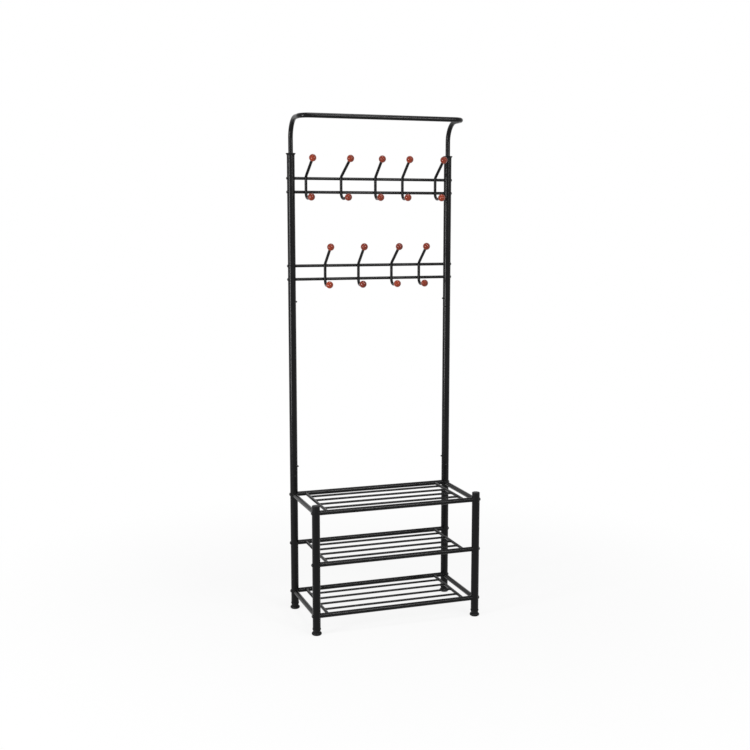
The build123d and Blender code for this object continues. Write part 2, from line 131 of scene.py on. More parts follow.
class HallTreeFinishes(bpy.types.PropertyGroup):
    """Colours and surface grain of the finishes."""

    coat_deep: FloatVectorProperty(
        name="Coat, deep", description="Darkest tone of the black powder coat",
        default=(0.0016, 0.0016, 0.0018), subtype="COLOR", min=0.0, max=1.0,
    )
    coat_pale: FloatVectorProperty(
        name="Coat, pale", description="Palest tone of the black powder coat",
        default=(0.0044, 0.0044, 0.0047), subtype="COLOR", min=0.0, max=1.0,
    )
    coat_roughness: FloatProperty(
        name="Coat roughness", description="Mean roughness of the powder coat",
        default=0.22, subtype="FACTOR", min=0.0, max=1.0,
    )
    coat_peel: FloatProperty(
        name="Coat dimple", description="Width of one orange-peel dimple in the powder coat",
        default=0.0022, unit="LENGTH", min=0.0002,
    )
    wood_pale: FloatVectorProperty(
        name="Wood, pale", description="Pale early wood under the red-brown stain",
        default=(0.300, 0.036, 0.007), subtype="COLOR", min=0.0, max=1.0,
    )
    wood_deep: FloatVectorProperty(
        name="Wood, deep", description="Dark late wood under the red-brown stain",
        default=(0.085, 0.007, 0.002), subtype="COLOR", min=0.0, max=1.0,
    )
    wood_pore: FloatVectorProperty(
        name="Wood pore", description="Stain gathered in the pores",
        default=(0.030, 0.004, 0.002), subtype="COLOR", min=0.0, max=1.0,
    )
    wood_roughness: FloatProperty(
        name="Wood roughness", description="Mean roughness of the wood under its varnish",
        default=0.24, subtype="FACTOR", min=0.0, max=1.0,
    )
    wood_ring: FloatProperty(
        name="Wood ring", description="Width of one growth ring",
        default=0.0027, unit="LENGTH", min=0.0005,
    )
    wood_tilt: FloatProperty(
        name="Wood tilt", description="How far the grain is tilted out of the level",
        default=math.radians(22.0), subtype="ANGLE",
    )
    plastic_deep: FloatVectorProperty(
        name="Plastic, deep", description="Darkest tone of the moulded black plastic",
        default=(0.0022, 0.0022, 0.0024), subtype="COLOR", min=0.0, max=1.0,
    )
    plastic_pale: FloatVectorProperty(
        name="Plastic, pale", description="Palest tone of the moulded black plastic",
        default=(0.0062, 0.0062, 0.0066), subtype="COLOR", min=0.0, max=1.0,
    )
    plastic_roughness: FloatProperty(
        name="Plastic roughness", description="Mean roughness of the moulded plastic",
        default=0.50, subtype="FACTOR", min=0.0, max=1.0,
    )
    bolt_deep: FloatVectorProperty(
        name="Bolt, deep", description="Darkest tone of the black oxide on bolts and buttons",
        default=(0.0050, 0.0050, 0.0056), subtype="COLOR", min=0.0, max=1.0,
    )
    bolt_pale: FloatVectorProperty(
        name="Bolt, pale", description="Steel showing through the black oxide",
        default=(0.0260, 0.0252, 0.0244), subtype="COLOR", min=0.0, max=1.0,
    )
    bolt_roughness: FloatProperty(
        name="Bolt roughness", description="Mean roughness of the black oxide",
        default=0.36, subtype="FACTOR", min=0.0, max=1.0,
    )
    zinc_deep: FloatVectorProperty(
        name="Zinc, deep", description="Darker grains of the zinc plate",
        default=(0.440, 0.455, 0.480), subtype="COLOR", min=0.0, max=1.0,
    )
    zinc_pale: FloatVectorProperty(
        name="Zinc, pale", description="Brighter grains of the zinc plate",
        default=(0.700, 0.710, 0.720), subtype="COLOR", min=0.0, max=1.0,
    )
    zinc_roughness: FloatProperty(
        name="Zinc roughness", description="Least roughness of the zinc plate, where it is bright",
        default=0.26, subtype="FACTOR", min=0.0, max=1.0,
    )
    spring_deep: FloatVectorProperty(
        name="Spring, deep", description="Blued bands of the spring steel",
        default=(0.130, 0.135, 0.170), subtype="COLOR", min=0.0, max=1.0,
    )
    spring_pale: FloatVectorProperty(
        name="Spring, pale", description="Straw-coloured bands of the spring steel",
        default=(0.420, 0.385, 0.330), subtype="COLOR", min=0.0, max=1.0,
    )
    spring_roughness: FloatProperty(
        name="Spring roughness", description="Mean roughness of the spring steel",
        default=0.28, subtype="FACTOR", min=0.0, max=1.0,
    )


class HallTreeSizes(bpy.types.PropertyGroup):
    """Sizes of the pieces that are added to the solids."""

    hook_bead: FloatProperty(
        name="Hook bead", description="Radius of the bead between a hook and its bar",
        default=0.0015, unit="LENGTH", min=0.0003,
    )
    hook_bead_ring: FloatProperty(
        name="Hook bead ring",
        description="Radius of the ring that a hook's bead makes round the touching point",
        default=0.0042, unit="LENGTH", min=0.001,
    )
    hook_ripples: IntProperty(
        name="Hook bead ripples", description="Ripples in a hook's bead", default=9, min=3,
    )
    rod_bead: FloatProperty(
        name="Rod bead", description="Radius of the bead where a shelf rod meets a cross bar",
        default=0.0011, unit="LENGTH", min=0.0003,
    )
    rod_ripples: IntProperty(
        name="Rod bead ripples", description="Ripples in a shelf rod's bead", default=8, min=3,
    )
    cross_bead: FloatProperty(
        name="Cross bar bead", description="Radius of the bead where a cross bar meets a rail",
        default=0.0013, unit="LENGTH", min=0.0003,
    )
    cross_ripples: IntProperty(
        name="Cross bar bead ripples", description="Ripples in a cross bar's bead",
        default=10, min=3,
    )
    side_bead: FloatProperty(
        name="Side bar bead", description="Radius of the bead where a side bar meets a post",
        default=0.0016, unit="LENGTH", min=0.0003,
    )
    side_ripples: IntProperty(
        name="Side bar bead ripples", description="Ripples in a side bar's bead",
        default=14, min=3,
    )
    rods: IntProperty(
        name="Shelf rods", description="Rods in one shelf", default=4, min=2,
    )
    thread_pitch: FloatProperty(
        name="Thread pitch", description="Rise of the foot thread in one turn",
        default=0.00125, unit="LENGTH", min=0.0004,
    )
    thread_depth: FloatProperty(
        name="Thread depth", description="Depth of the foot thread below its crest",
        default=0.00068, unit="LENGTH", min=0.0001,
    )
    head_height: FloatProperty(
        name="Stud head", description="Height of the round head under the foot stud",
        default=0.004, unit="LENGTH", min=0.001,
    )
    head_edge: FloatProperty(
        name="Stud head edge", description="Width of the rounded edges of a foot stud's head",
        default=0.0005, unit="LENGTH", min=0.0001,
    )
    spring_reach: FloatProperty(
        name="Spring reach",
        description="How far a leaf spring may lie from the middle of its button",
        default=0.10, unit="LENGTH", min=0.01,
    )
    spring_step: FloatProperty(
        name="Spring step",
        description="Height of one step along a leaf spring, within which it stays straight",
        default=0.002, unit="LENGTH", min=0.0005,
    )


class HallTreeStage(bpy.types.PropertyGroup):
    """Floor, light and camera."""

    floor_reach: FloatProperty(
        name="Floor", description="Half the width of the floor",
        default=16.0, unit="LENGTH", min=2.0,
    )
    floor_colour: FloatVectorProperty(
        name="Floor colour", description="Pale matt floor",
        default=(0.80, 0.80, 0.80), subtype="COLOR", min=0.0, max=1.0,
    )
    floor_white: FloatProperty(
        name="Floor whiteness",
        description="Share of plain white in the floor as it is seen near the feet",
        default=0.87, subtype="FACTOR", min=0.0, max=1.0,
    )
    floor_near: FloatProperty(
        name="Floor, near", description="How far from the middle the floor starts to whiten",
        default=0.5, unit="LENGTH", min=0.0,
    )
    floor_far: FloatProperty(
        name="Floor, far", description="How far from the middle the floor is plain white",
        default=2.0, unit="LENGTH", min=0.1,
    )
    room_light: FloatProperty(
        name="Room light", description="Even light from all round", default=0.30, min=0.0,
    )
    key_power: FloatProperty(
        name="Key light", description="Soft box high on the front right",
        default=58.0, unit="POWER", min=0.0,
    )
    key_size: FloatVectorProperty(
        name="Key light size", description="Width and height of the key light's box",
        default=(0.9, 0.9), size=2, unit="LENGTH", min=0.01,
    )
    key_place: FloatVectorProperty(
        name="Key light place", description="Where the key light's box hangs",
        default=(1.2, -3.3, 2.4), subtype="TRANSLATION", unit="LENGTH",
    )
    fill_power: FloatProperty(
        name="Fill light", description="Tall soft box on the front left",
        default=106.0, unit="POWER", min=0.0,
    )
    fill_size: FloatVectorProperty(
        name="Fill light size", description="Width and height of the fill light's box",
        default=(0.8, 1.8), size=2, unit="LENGTH", min=0.01,
    )
    fill_place: FloatVectorProperty(
        name="Fill light place", description="Where the fill light's box hangs",
        default=(-3.4, -1.25, 1.1), subtype="TRANSLATION", unit="LENGTH",
    )
    top_power: FloatProperty(
        name="Top light", description="Soft box overhead",
        default=48.0, unit="POWER", min=0.0,
    )
    top_size: FloatVectorProperty(
        name="Top light size", description="Width and height of the top light's box",
        default=(1.5, 0.9), size=2, unit="LENGTH", min=0.01,
    )
    top_place: FloatVectorProperty(
        name="Top light place", description="Where the top light's box hangs",
        default=(0.1, -0.7, 4.0), subtype="TRANSLATION", unit="LENGTH",
    )
    camera_place: FloatVectorProperty(
        name="Camera place", description="Where the camera stands",
        default=(-1.3628, -3.8462, 1.4601), subtype="TRANSLATION", unit="LENGTH",
    )
    camera_turn: FloatProperty(
        name="Camera turn",
        description="How far the camera is turned to the right of straight ahead",
        default=math.radians(19.0367), subtype="ANGLE",
    )
    camera_tilt: FloatProperty(
        name="Camera tilt", description="How far the camera looks down",
        default=math.radians(7.8108), subtype="ANGLE",
    )
    camera_lens: FloatProperty(
        name="Lens", description="Focal length on a 36 mm sensor, in millimetres",
        default=53.984, unit="CAMERA", min=1.0,
    )


class Wire:
    """One socket of a node tree: operators on it add Math nodes, and node() adds any other."""

    def __init__(self, tree, socket=None):
        self.tree = tree
        self.socket = socket

    def node(self, kind, settings=None, inputs=None, output=0):
        """Add a node, set its settings, fill or link its sockets, and give one output's wire."""
        made = self.tree.nodes.new(kind)
        for name, value in (settings or {}).items():
            if name == "stops":
                first, *others = value
                stops = made.color_ramp.elements
                stops[0].position, stops[0].color = first
                stops.remove(stops[1])
                for place, colour in others:
                    stops.new(place).color = colour
            else:
                setattr(made, name, value)
        for name, value in (inputs or {}).items():
            if isinstance(value, Wire):
                self.tree.links.new(value.socket, made.inputs[name])
            else:
                made.inputs[name].default_value = value
        return Wire(self.tree, made.outputs[output])

    def math(self, operation, first, second):
        return self.node("ShaderNodeMath", {"operation": operation}, {0: first, 1: second})

    def __add__(self, other):
        return self.math("ADD", self, other)

    def __radd__(self, other):
        return self.math("ADD", other, self)

    def __sub__(self, other):
        return self.math("SUBTRACT", self, other)

    def __rsub__(self, other):
        return self.math("SUBTRACT", other, self)

    def __mul__(self, other):
        return self.math("MULTIPLY", self, other)

    def __rmul__(self, other):
        return self.math("MULTIPLY", other, self)

    def swing(self, span):
        """A noise's swing to both sides of its mean of one half, made as wide as span."""
        return (self - 0.5) * span

    def noise(self, place, size, detail=2.0, roughness=0.5):
        """Cloudy noise whose lumps are about as wide as size."""
        inputs = {"Vector": place, "Scale": 1.0 / size, "Detail": detail, "Roughness": roughness}
        return self.node("ShaderNodeTexNoise", {"noise_dimensions": "3D"}, inputs, "Fac")

    def stretch(self, place, scale, turn=ORIGIN):
        """The same place, turned and then scaled along each axis."""
        inputs = {"Vector": place, "Rotation": turn}
        turned = self.node("ShaderNodeMapping", {"vector_type": "POINT"}, inputs)
        settings = {"operation": "MULTIPLY"}
        return self.node("ShaderNodeVectorMath", settings, {0: turned, 1: scale})

    def blend(self, share, first, second):
        """One colour going over into another, on the Mix node's colour sockets."""
        settings = {"data_type": "RGBA", "blend_type": "MIX"}
        inputs = {0: share, 6: opaque(first), 7: opaque(second)}
        return self.node("ShaderNodeMix", settings, inputs, 2)

    def ramp(self, share, low, high):
        """0 up to low, 1 from high, and a straight rise between."""
        stops = [(low, (0.0, 0.0, 0.0, 1.0)), (high, WHITE)]
        return self.node("ShaderNodeValToRGB", {"stops": stops}, {"Fac": share}, "Color")

    def bump(self, height, depth):
        """A normal that follows a height from 0 to 1, which is as deep as depth."""
        inputs = {"Strength": 1.0, "Distance": depth, "Height": height}
        return self.node("ShaderNodeBump", None, inputs, "Normal")


def opaque(colour):
    """A colour with its alpha, or a wire as it is."""
    return colour if isinstance(colour, Wire) else (*colour, 1.0)


def begin_finish(name):
    """A new material, a wire to build on and the wire of the object's own coordinates."""
    material = bpy.data.materials.new(name)
    material.use_nodes = True
    material.node_tree.nodes.clear()
    wire = Wire(material.node_tree)
    place = wire.node("ShaderNodeTexCoord", output="Object")
    return material, wire, place


def end_finish(wire, colour, roughness, normal, constants):
    """Join the varying wires and the constant values to the shader, and that to the output."""
    inputs = {"Base Color": colour, "Roughness": roughness, "Normal": normal, **constants}
    surface = wire.node("ShaderNodeBsdfPrincipled", None, inputs, "BSDF")
    show_surface(wire, surface, "ShaderNodeOutputMaterial")


def show_surface(wire, surface, kind):
    """Join a shader to a new output of that kind."""
    output = wire.tree.nodes.new(kind)
    wire.tree.links.new(surface.socket, output.inputs["Surface"])


def mix_powder_coat(finishes):
    """Semi-gloss black powder coat with orange peel, on all the tube and its welds."""
    material, wire, place = begin_finish("black_powder_coat")
    peel = wire.noise(place, size=finishes.coat_peel)
    speck = wire.noise(place, size=finishes.coat_peel / 5.0, detail=1.0)
    cloud = wire.noise(place, size=0.11, detail=3.0)
    sweep = wire.noise(wire.stretch(place, scale=(1.0, 1.0, 0.25)), size=0.035)
    tone = cloud * 0.75 + speck * 0.25
    colour = wire.blend(tone, finishes.coat_deep, finishes.coat_pale)
    uneven = cloud.swing(0.12) + sweep.swing(0.08) + speck.swing(0.03)
    roughness = uneven + finishes.coat_roughness
    normal = wire.bump(peel * 0.9 + speck * 0.1, depth=0.000009)
    end_finish(wire, colour, roughness, normal, {"Specular IOR Level": 0.14})
    return material


def mix_knob_wood(finishes):
    """Red-brown stained wood under gloss varnish, each ball in its own tone."""
    material, wire, place = begin_finish("varnished_knob_wood")
    grain = wire.stretch(place, scale=(1.0, 0.14, 1.0), turn=(finishes.wood_tilt, 0.0, 0.0))
    settings = {"wave_type": "BANDS", "bands_direction": "DIAGONAL", "wave_profile": "SIN"}
    inputs = {
        "Vector": grain, "Scale": FULL_TURN / (BAND_RATE * finishes.wood_ring),
        "Distortion": 7.0, "Detail": 3.0, "Detail Scale": 0.6, "Detail Roughness": 0.55,
    }
    rings = wire.node("ShaderNodeTexWave", settings, inputs, "Fac")
    fibre = wire.noise(grain, size=0.0009, detail=3.0, roughness=0.6)
    pores = wire.ramp(wire.noise(grain, size=0.0005, detail=1.0), low=0.60, high=0.74)
    tone = wire.noise(place, size=0.085, detail=0.0)
    share = rings * 0.42 + fibre * 0.34 + tone.swing(1.1) + 0.12
    early = wire.ramp(share, low=0.0, high=1.0)
    stained = wire.blend(early, finishes.wood_deep, finishes.wood_pale)
    colour = wire.blend(pores * 0.55, stained, finishes.wood_pore)
    roughness = finishes.wood_roughness + fibre.swing(0.10) + pores * 0.08
    normal = wire.bump(fibre * 0.4 - pores * 0.6, depth=0.000012)
    varnish = {"Coat Weight": 0.50, "Coat Roughness": 0.06, "Coat IOR": 1.5}
    end_finish(wire, colour, roughness, normal, {"Specular IOR Level": 0.05, **varnish})
    return material


def mix_moulded_plastic(finishes):
    """Matt black moulded plastic with a fine pitted grain, on caps, collars, plugs and pads."""
    material, wire, place = begin_finish("moulded_black_plastic")
    settings = {"voronoi_dimensions": "3D", "feature": "SMOOTH_F1", "distance": "EUCLIDEAN"}
    inputs = {"Vector": place, "Scale": 1500.0, "Smoothness": 0.6}
    pits = wire.node("ShaderNodeTexVoronoi", settings, inputs, "Distance")
    cloud = wire.noise(place, size=0.018, detail=3.0)
    streak = wire.noise(wire.stretch(place, scale=(1.0, 1.0, 3.0)), size=0.006, detail=3.0)
    rub = wire.ramp(streak, low=0.52, high=0.78)
    tone = cloud * 0.7 + pits * 0.3
    colour = wire.blend(tone, finishes.plastic_deep, finishes.plastic_pale)
    roughness = finishes.plastic_roughness + cloud.swing(0.14) - rub * 0.10
    normal = wire.bump(pits, depth=0.00003)
    end_finish(wire, colour, roughness, normal, {"Specular IOR Level": 0.14})
    return material


def mix_black_oxide(finishes):
    """Satin black oxide on bolts and snap buttons, rubbed thin here and there."""
    material, wire, place = begin_finish("satin_black_oxide")
    worn = wire.noise(place, size=0.0042, detail=4.0, roughness=0.6)
    rub = wire.ramp(worn, low=0.50, high=0.80)
    tool = wire.noise(wire.stretch(place, scale=(9.0, 1.0, 1.0)), size=0.0016)
    colour = wire.blend(rub * 0.5 + tool * 0.2, finishes.bolt_deep, finishes.bolt_pale)
    roughness = finishes.bolt_roughness + tool.swing(0.14) - rub * 0.08
    normal = wire.bump(tool, depth=0.00001)
    end_finish(wire, colour, roughness, normal, {"Metallic": 0.35})
    return material


def mix_zinc_plate(finishes):
    """Bright zinc plate with fine crystal grains, on inserts and foot studs."""
    material, wire, place = begin_finish("bright_zinc_plate")
    settings = {"voronoi_dimensions": "3D", "feature": "F1", "distance": "EUCLIDEAN"}
    inputs = {"Vector": place, "Scale": 620.0}
    grains = wire.node("ShaderNodeTexVoronoi", settings, inputs, "Color")
    dull = wire.noise(place, size=0.006, detail=4.0, roughness=0.6)
    turning = wire.noise(wire.stretch(place, scale=(1.0, 1.0, 12.0)), size=0.002)
    bright = wire.node("ShaderNodeSeparateColor", {"mode": "RGB"}, {"Color": grains}, "Red")
    colour = wire.blend(bright * 0.4 + dull * 0.6, finishes.zinc_deep, finishes.zinc_pale)
    roughness = finishes.zinc_roughness + dull * 0.16 + turning.swing(0.08)
    normal = wire.bump(turning, depth=0.000008)
    end_finish(wire, colour, roughness, normal, {"Metallic": 1.0})
    return material


def mix_spring_steel(finishes):
    """Tempered spring steel with blue and straw bands and a rolled grain."""
    material, wire, place = begin_finish("tempered_spring_steel")
    temper = wire.noise(wire.stretch(place, scale=(0.4, 0.4, 1.0)), size=0.014)
    rolled = wire.noise(wire.stretch(place, scale=(1.0, 1.0, 0.06)), size=0.0006)
    straw = wire.ramp(temper, low=0.35, high=0.65)
    colour = wire.blend(straw, finishes.spring_deep, finishes.spring_pale)
    roughness = finishes.spring_roughness + rolled.swing(0.20)
    normal = wire.bump(rolled, depth=0.000004)
    end_finish(wire, colour, roughness, normal, {"Metallic": 1.0})
    return material


def finish_nodes(slot, material):
    """Give a finish to every solid whose material slot has that name."""
    parts = frame["record"]["subparts"]
    names = [part["node"] for part in parts if part["material_slot"] == slot]
    if not names:
        raise RuntimeError(f"no solid has the material slot {slot}")
    for name in names:
        for place in frame["nodes"][name].material_slots:
            place.material = material


def show(name, data):
    """A new object in the scene, made of a mesh, a light or a camera."""
    made = bpy.data.objects.new(name, data)
    bpy.context.scene.collection.objects.link(made)
    return made


def pour_mesh(form, name):
    """A new mesh from a form, which is used up."""
    mesh = bpy.data.meshes.new(name)
    form.to_mesh(mesh)
    form.free()
    return mesh


def keep_piece(form, name, finish):
    """Close a form into a smooth piece that takes a named finish."""
    bmesh.ops.remove_doubles(form, verts=form.verts[:], dist=SAME_POINT)
    bmesh.ops.recalc_face_normals(form, faces=form.faces[:])
    mesh = pour_mesh(form, name)
    mesh.materials.append(bpy.data.materials[finish])
    mesh.shade_smooth()
    piece = show(name, mesh)
    return piece


def bar_measure(node):
    """The middle of a straight bar's box, and its radius, from its height."""
    low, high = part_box(node)
    return (low + high) / 2, (high.z - low.z) / 2


def everything(form):
    """All that a form is made of, for a cut through the whole of it."""
    return form.verts[:] + form.edges[:] + form.faces[:]


def roll_bead(ring_radius, bead_radius, ripples, lift):
    """A rippled weld bead: a round section spun about Z, its middle line lifted by lift(x, y)."""
    form = bmesh.new()
    made = bmesh.ops.create_circle(form, radius=bead_radius, segments=BEAD_CORNERS)
    upright = Matrix.Rotation(QUARTER_TURN, 4, "X")
    stand = Matrix.Translation((ring_radius, 0.0, 0.0)) @ upright
    bmesh.ops.transform(form, matrix=stand, verts=made["verts"])
    bmesh.ops.spin(
        form, geom=form.verts[:] + form.edges[:], cent=ORIGIN, axis=UP, dvec=ORIGIN,
        angle=FULL_TURN, steps=RIPPLE_STEPS * ripples, use_merge=True,
    )
    for point in form.verts:
        turn = math.atan2(point.co.y, point.co.x)
        spine = Vector((ring_radius * math.cos(turn), ring_radius * math.sin(turn), 0.0))
        swell = 1.0 + RIPPLE_SWELL * math.sin(ripples * turn)
        point.co = spine + (point.co - spine) * swell
        point.co.z += lift(spine.x, spine.y)
    return pour_mesh(form, "bead")


def butt_bead(tube_radius, bead_radius, seat_radius, ripples):
    """The bead round a tube's end on the side of another tube, with Z from the other's axis."""
    return roll_bead(
        tube_radius, bead_radius, ripples, lambda x, y: math.sqrt(seat_radius**2 - y**2),
    )


def station(origin, along, across):
    """Where a bead goes: its Z along the welded tube, its X along the tube that carries it."""
    z = Vector(along).normalized()
    x = Vector(across).normalized()
    turn = Matrix((x, z.cross(x), z)).transposed().to_4x4()
    return Matrix.Translation(origin) @ turn


def lay_beads(form, bead, stations):
    """Copy a bead to each of its places, and use it up."""
    for place in stations:
        before = len(form.verts)
        form.from_mesh(bead)
        form.verts.ensure_lookup_table()
        bmesh.ops.transform(form, matrix=place, verts=form.verts[before:])
    bpy.data.meshes.remove(bead)


class HALLTREE_OT_coat_tubes(bpy.types.Operator):
    """Coat posts, rails, bars, rods and hooks in black powder coat"""

    bl_idname = "hall_tree.coat_tubes"
    bl_label = "Coat the Tubes"

    def execute(self, context):
        finish_nodes("black_tube", mix_powder_coat(context.scene.hall_tree_finishes))
        return {"FINISHED"}


class HALLTREE_OT_varnish_knobs(bpy.types.Operator):
    """Stain and varnish the wooden ball knobs"""

    bl_idname = "hall_tree.varnish_knobs"
    bl_label = "Varnish the Knobs"

    def execute(self, context):
        finish_nodes("knob_wood", mix_knob_wood(context.scene.hall_tree_finishes))
        return {"FINISHED"}


class HALLTREE_OT_mould_plastics(bpy.types.Operator):
    """Give caps, collars, foot plugs and foot pads their moulded plastic"""

    bl_idname = "hall_tree.mould_plastics"
    bl_label = "Mould the Plastics"

    def execute(self, context):
        finish_nodes("black_plastic", mix_moulded_plastic(context.scene.hall_tree_finishes))
        return {"FINISHED"}


class HALLTREE_OT_blacken_fasteners(bpy.types.Operator):
    """Blacken the bolts and snap buttons"""

    bl_idname = "hall_tree.blacken_fasteners"
    bl_label = "Blacken the Fasteners"

    def execute(self, context):
        finish_nodes("black_fastener", mix_black_oxide(context.scene.hall_tree_finishes))
        return {"FINISHED"}


class HALLTREE_OT_finish_inner_steel(bpy.types.Operator):
    """Plate the inserts and studs and temper the leaf springs"""

    bl_idname = "hall_tree.finish_inner_steel"
    bl_label = "Finish the Inner Steel"

    def execute(self, context):
        finish_nodes("zinc_steel", mix_zinc_plate(context.scene.hall_tree_finishes))
        finish_nodes("spring_steel", mix_spring_steel(context.scene.hall_tree_finishes))
        return {"FINISHED"}


class HALLTREE_OT_weld_hooks(bpy.types.Operator):
    """Lay a bead where each hook crosses its two bars"""

    bl_idname = "hall_tree.weld_hooks"
    bl_label = "Weld the Hooks"

    def execute(self, context):
        sizes = context.scene.hall_tree_sizes
        form = bmesh.new()
        for row in ("upper", "lower"):
            hooks = [name for name in frame["nodes"] if name.startswith(f"{row}_hook_")]
            if not hooks:
                raise RuntimeError(f"the {row} row has no hooks")
            rod_radius = self.rod_radius(hooks[0])
            for bar in ("top", "bottom"):
                middle, bar_radius = bar_measure(f"{row}_row_{bar}_hook_bar")
                places = []
                for hook in hooks:
                    touch = Vector((self.back_middle(hook), middle.y - bar_radius, middle.z))
                    places.append(station(touch, FRONT, RIGHT))
                bead = roll_bead(
                    sizes.hook_bead_ring, sizes.hook_bead, sizes.hook_ripples,
                    lambda x, y: (
                        rod_radius - math.sqrt(rod_radius**2 - x**2)
                        - bar_radius + math.sqrt(bar_radius**2 - y**2)
                    ) / 2,
                )
                lay_beads(form, bead, places)
        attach(keep_piece(form, "hook_welds", "black_powder_coat"), "frame")
        return {"FINISHED"}

    def back_points(self, hook, depth):
        """The points of a hook that lie no deeper than depth from its back."""
        _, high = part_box(hook)
        points = frame["nodes"][hook].data.vertices
        return [point.co for point in points if point.co.y > high.y - depth]

    def back_middle(self, hook):
        """The X of the middle of a hook's back."""
        back = [point.x for point in self.back_points(hook, HOOK_BACK)]
        return (min(back) + max(back)) / 2

    def rod_radius(self, hook):
        """Half the width of a hook's upright, about the middle of its height."""
        low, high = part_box(hook)
        middle = (low.z + high.z) / 2
        back = self.back_points(hook, UPRIGHT_DEPTH)
        upright = [point.x for point in back if abs(point.z - middle) < UPRIGHT_REACH]
        return (max(upright) - min(upright)) / 2


class HALLTREE_OT_weld_shelves(bpy.types.Operator):
    """Lay a bead where each shelf rod meets its cross bars and each cross bar its rails"""

    bl_idname = "hall_tree.weld_shelves"
    bl_label = "Weld the Shelves"

    def execute(self, context):
        sizes = context.scene.hall_tree_sizes
        form = bmesh.new()
        for level in LEVELS:
            low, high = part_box(f"{level}_cross_bars")
            bar_radius = (high.z - low.z) / 2
            height = (high.z + low.z) / 2
            ends = ((low.x + bar_radius, 1.0), (high.x - bar_radius, -1.0))
            rod_low, rod_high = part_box(f"{level}_shelf_rods")
            rod_radius = (rod_high.z - rod_low.z) / 2
            first, last = rod_low.y + rod_radius, rod_high.y - rod_radius
            gaps = sizes.rods - 1
            rod_ys = [first + (last - first) * rod / gaps for rod in range(sizes.rods)]
            places = [
                station((x, y, height), (inward, 0.0, 0.0), REAR)
                for x, inward in ends for y in rod_ys
            ]
            bead = butt_bead(rod_radius, sizes.rod_bead, bar_radius, sizes.rod_ripples)
            lay_beads(form, bead, places)
            for row, inward in zip(ROWS, (1.0, -1.0)):
                middle, rail_radius = bar_measure(f"{level}_{row}_rail")
                places = [
                    station((x, middle.y, height), (0.0, inward, 0.0), RIGHT) for x, _ in ends
                ]
                bead = butt_bead(bar_radius, sizes.cross_bead, rail_radius, sizes.cross_ripples)
                lay_beads(form, bead, places)
        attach(keep_piece(form, "shelf_welds", "black_powder_coat"), "frame")
        return {"FINISHED"}


class HALLTREE_OT_weld_side_bars(bpy.types.Operator):
    """Lay a bead where each side bar meets its posts"""

    bl_idname = "hall_tree.weld_side_bars"
    bl_label = "Weld the Side Bars"

    def execute(self, context):
        sizes = context.scene.hall_tree_sizes
        form = bmesh.new()
        for side in SIDES:
            for level in ("bottom", "top"):
                middle, bar_radius = bar_measure(f"{level}_{side}_side_bar")
                for post, inward in ((f"front_{side}_post", 1.0), (f"{side}_lower_post", -1.0)):
                    low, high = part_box(post)
                    axis = (low + high) / 2
                    post_radius = (high.x - low.x) / 2
                    place = station((axis.x, axis.y, middle.z), (0.0, inward, 0.0), UP)
                    bead = butt_bead(bar_radius, sizes.side_bead, post_radius, sizes.side_ripples)
                    lay_beads(form, bead, [place])
        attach(keep_piece(form, "side_bar_welds", "black_powder_coat"), "frame")
        return {"FINISHED"}


class HALLTREE_OT_thread_studs(bpy.types.Operator):
    """Cut the threads of the four foot studs, which show when a foot is wound out"""

    bl_idname = "hall_tree.thread_studs"
    bl_label = "Thread the Foot Studs"

    def execute(self, context):
        sizes = context.scene.hall_tree_sizes
        for row in ROWS:
            for side in SIDES:
                node = f"{row}_{side}_foot_stud"
                low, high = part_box(node)
                axis = (low + high) / 2
                points = [point.co for point in frame["nodes"][node].data.vertices]
                tip = [point.x for point in points if point.z > high.z - STUD_TIP]
                form = self.cut_thread(sizes, (max(tip) - min(tip)) / 2, high.z - low.z)
                self.forge_head(form, sizes, (high.x - low.x) / 2)
                bmesh.ops.translate(form, vec=(axis.x, axis.y, low.z), verts=form.verts[:])
                name = f"{row}_{side}_threaded_stud"
                piece = keep_piece(form, name, "bright_zinc_plate")
                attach(piece, f"{row}_{side}_stud")
                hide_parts(node)
        return {"FINISHED"}

    def cut_thread(self, sizes, crest, length):
        """A V thread wound up along Z, cut square at the head and at its tip."""
        pitch, root = sizes.thread_pitch, crest - sizes.thread_depth
        profile = [
            (root, 0.0), (crest, CREST_START * pitch), (crest, CREST_END * pitch),
            (root, ROOT_START * pitch), (root, pitch),
        ]
        form = bmesh.new()
        points = [form.verts.new((radius, 0.0, height - pitch)) for radius, height in profile]
        edges = [form.edges.new(pair) for pair in zip(points, points[1:])]
        turns = math.ceil(length / pitch) + 2
        bmesh.ops.spin(
            form, geom=points + edges, cent=ORIGIN, axis=UP, dvec=(0.0, 0.0, pitch / TURN_STEPS),
            angle=FULL_TURN * turns, steps=TURN_STEPS * turns, use_merge=False,
        )
        bmesh.ops.remove_doubles(form, verts=form.verts[:], dist=SEAM_GAP)
        for height, direction in ((sizes.head_height, -1.0), (length, 1.0)):
            cut = bmesh.ops.bisect_plane(
                form, geom=everything(form), dist=SAME_POINT, plane_co=(0.0, 0.0, height),
                plane_no=(0.0, 0.0, direction), clear_outer=True,
            )
            rim = [part for part in cut["geom_cut"] if isinstance(part, bmesh.types.BMEdge)]
            bmesh.ops.holes_fill(form, edges=rim, sides=0)
        return form

    def forge_head(self, form, sizes, head_radius):
        """The round head under the thread, its edges rounded."""
        made = bmesh.ops.create_cone(
            form, cap_ends=True, segments=HEAD_CORNERS, radius1=head_radius, radius2=head_radius,
            depth=sizes.head_height, matrix=Matrix.Translation((0.0, 0.0, sizes.head_height / 2)),
        )
        edges = dict.fromkeys(edge for point in made["verts"] for edge in point.link_edges)
        rims = [
            edge for edge in edges
            if abs(edge.verts[0].co.z - edge.verts[1].co.z) < SEAM_GAP
        ]
        bmesh.ops.bevel(
            form, geom=rims, offset=sizes.head_edge, offset_type="OFFSET", affect="EDGES",
            segments=2, profile=0.5, material=-1,
        )


